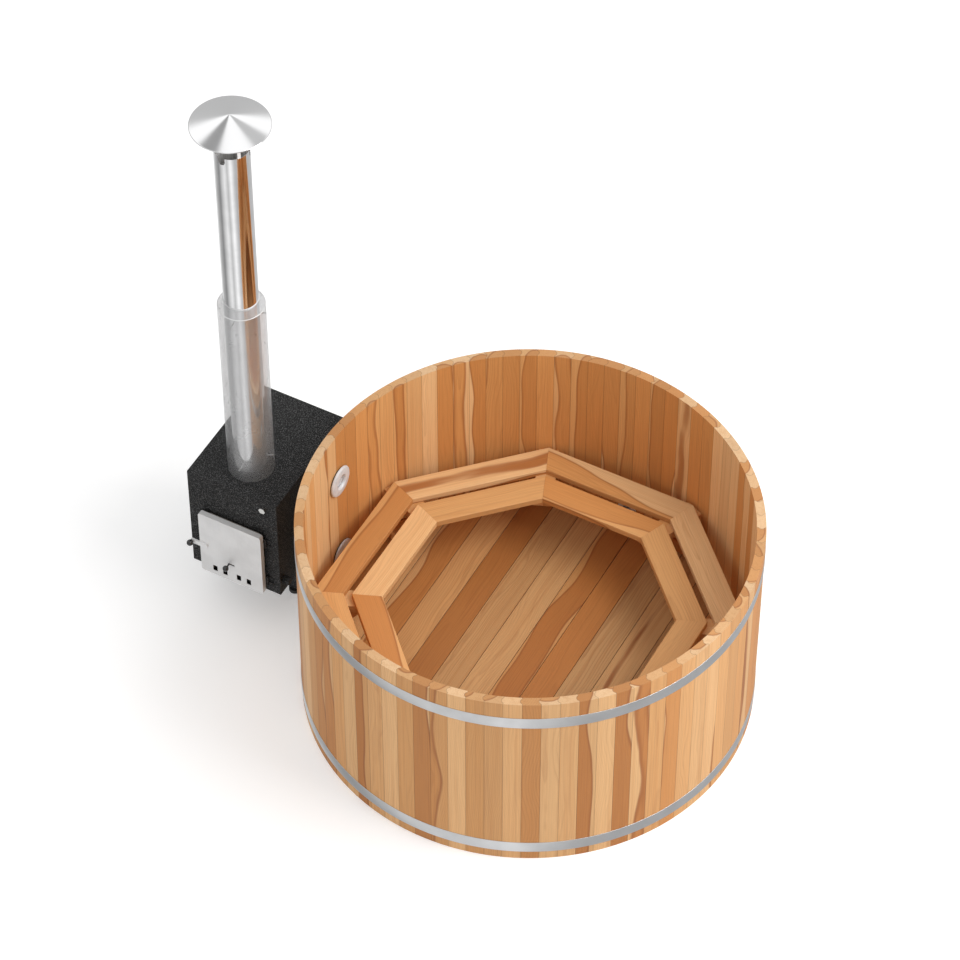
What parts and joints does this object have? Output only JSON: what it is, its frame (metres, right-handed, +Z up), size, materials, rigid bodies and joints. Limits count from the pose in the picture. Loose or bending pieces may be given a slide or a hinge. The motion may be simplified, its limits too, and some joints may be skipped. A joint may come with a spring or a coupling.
{
  "type": "wooden hot tub",
  "caption": "Round stave-built wooden hot tub with a slatted bench ring, an external water-jacket wood stove, water pipes, and a tall steel flue with a rain cap.",
  "frame": {"origin": "on the ground under the middle of the tub, at the underside of the middle floor bearer", "axes": "+Z up, +X from the stove to the tub, -Y towards the side that the stove door faces"},
  "size_m": [2.549, 2.1551, 2.891],
  "materials": {
    "stave_wood": "oiled softwood, tones change from stave to stave",
    "floor_wood": "planed softwood boards",
    "bench_wood": "planed softwood boards with rounded edges",
    "frame_wood": "sawn softwood",
    "hoop_steel": "cold-rolled strip",
    "fastener_steel": "plain stainless",
    "white_plastic": "satin moulded plastic",
    "black_rubber": "matt rubber",
    "pipe_steel": "drawn stainless tube",
    "lever_red": "dipped coating",
    "stove_black": "fine-textured heat-proof coat",
    "fire_iron": "rough cast",
    "scaled_steel": "mill scale and soot",
    "flue_steel": "mirror-polished stainless",
    "cap_steel": "stainless brushed in wedges",
    "guard_mesh": "finely perforated stainless",
    "plug_steel": "plated",
    "knob_black": "polished thermoset",
    "door_steel": "fine upright brushing",
    "ceramic_board": "pressed fibre board",
    "rope_seal": "woven glass rope"
  },
  "bodies": {
    "tub": {"staves": "stave_wood", "bored_staves": "stave_wood", "floor_boards": "floor_wood", "floor_bearers": "frame_wood", "hoops": "hoop_steel", "hoop_lugs": "hoop_steel", "hoop_bolts": "fastener_steel", "bench_outer_boards": "bench_wood", "bench_inner_boards": "bench_wood", "bench_bearers": "frame_wood", "bench_braces": "frame_wood", "bench_posts": "frame_wood", "bench_screws": "fastener_steel", "wall_flanges": "white_plastic", "flange_strainers": "white_plastic", "inner_gaskets": "black_rubber", "outer_gaskets": "black_rubber", "pipe_nuts": "white_plastic", "water_pipes": "pipe_steel", "pipe_bosses": "stove_black", "drain_flange": "white_plastic", "drain_gaskets": "black_rubber", "drain_nut": "white_plastic", "drain_valve": "white_plastic", "stove_casing": "stove_black", "stove_front": "stove_black", "stove_top": "stove_black", "stove_base": "stove_black", "stove_stand": "stove_black", "stand_feet": "black_rubber", "firebox": "scaled_steel", "firebox_roof": "scaled_steel", "fire_grate": "fire_iron", "grate_ledges": "scaled_steel", "flue_duct": "scaled_steel", "flue_pipe": "flue_steel", "heat_guard": "guard_mesh", "guard_collar": "guard_mesh", "guard_spacers": "fastener_steel", "rain_cap": "cap_steel", "cap_legs": "cap_steel", "jacket_plug": "plug_steel", "cock_boss": "stove_black", "frame_hinges": "stove_black", "hinge_pins": "fastener_steel", "latch_rest": "stove_black"},
    "stove_door": {"door_pan": "door_steel", "door_back": "scaled_steel", "door_insulation": "ceramic_board", "door_seal": "rope_seal", "slider_rails": "fastener_steel", "door_hinges": "door_steel"},
    "door_latch": {"latch_lever": "door_steel", "latch_ball": "knob_black", "latch_tongue": "door_steel"},
    "air_slide": {"air_slider": "fastener_steel", "air_knob": "knob_black"},
    "stove_cock": {"cock_knob": "knob_black"},
    "drain_valve": {"drain_lever": "lever_red", "drain_ball": "pipe_steel"}
  },
  "joints": [
    {"name": "door_hinge", "type": "hinge", "parent": "tub", "child": "stove_door", "pos_m": [-1.158, -0.2805, 0.413], "axis": [0, 0, 1], "range_deg": [0, 105]},
    {"name": "latch_pivot", "type": "hinge", "parent": "stove_door", "child": "door_latch", "pos_m": [-1.4495, -0.3, 0.404], "axis": [0, 1, 0], "range_deg": [0, 60]},
    {"name": "air_slide", "type": "slide", "parent": "stove_door", "child": "air_slide", "axis": [1, 0, 0], "range_m": [0, 0.024]},
    {"name": "cock_turn", "type": "hinge", "parent": "tub", "child": "stove_cock", "pos_m": [-1.081, -0.24, 0.295], "axis": [1, 0, 0], "range_deg": [0, 270]},
    {"name": "drain_turn", "type": "hinge", "parent": "tub", "child": "drain_valve", "pos_m": [0, 1.074, 0.204], "axis": [0, 0, 1], "range_deg": [0, 90]}
  ]
}
